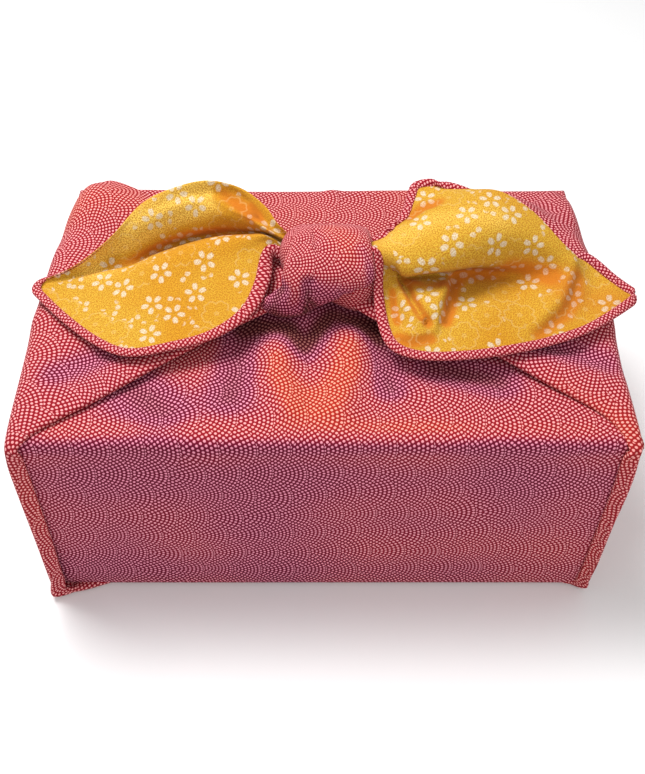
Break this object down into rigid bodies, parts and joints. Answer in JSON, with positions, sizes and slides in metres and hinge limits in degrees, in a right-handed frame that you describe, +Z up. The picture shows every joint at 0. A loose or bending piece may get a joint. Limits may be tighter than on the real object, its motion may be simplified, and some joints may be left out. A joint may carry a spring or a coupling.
{
  "type": "furoshiki wrap on a box",
  "caption": "Box wrapped in a square of reversible cloth, with side flaps knotted over the lid and the two free corners fanned out.",
  "frame": {"origin": "centre of the flat underside of the wrapped box", "axes": "+Z up, -Y towards the front face, +X along the long side, to the right seen from the front"},
  "size_m": [0.2457, 0.1603, 0.1394],
  "materials": {
    "cloth": "crimson crepe with rows of small pale dots outside, amber crepe with white blossoms inside",
    "box_card": "plain matte card, hidden by the cloth"
  },
  "bodies": {
    "root": {"furoshiki": "cloth", "box": "box_card"}
  },
  "joints": []
}
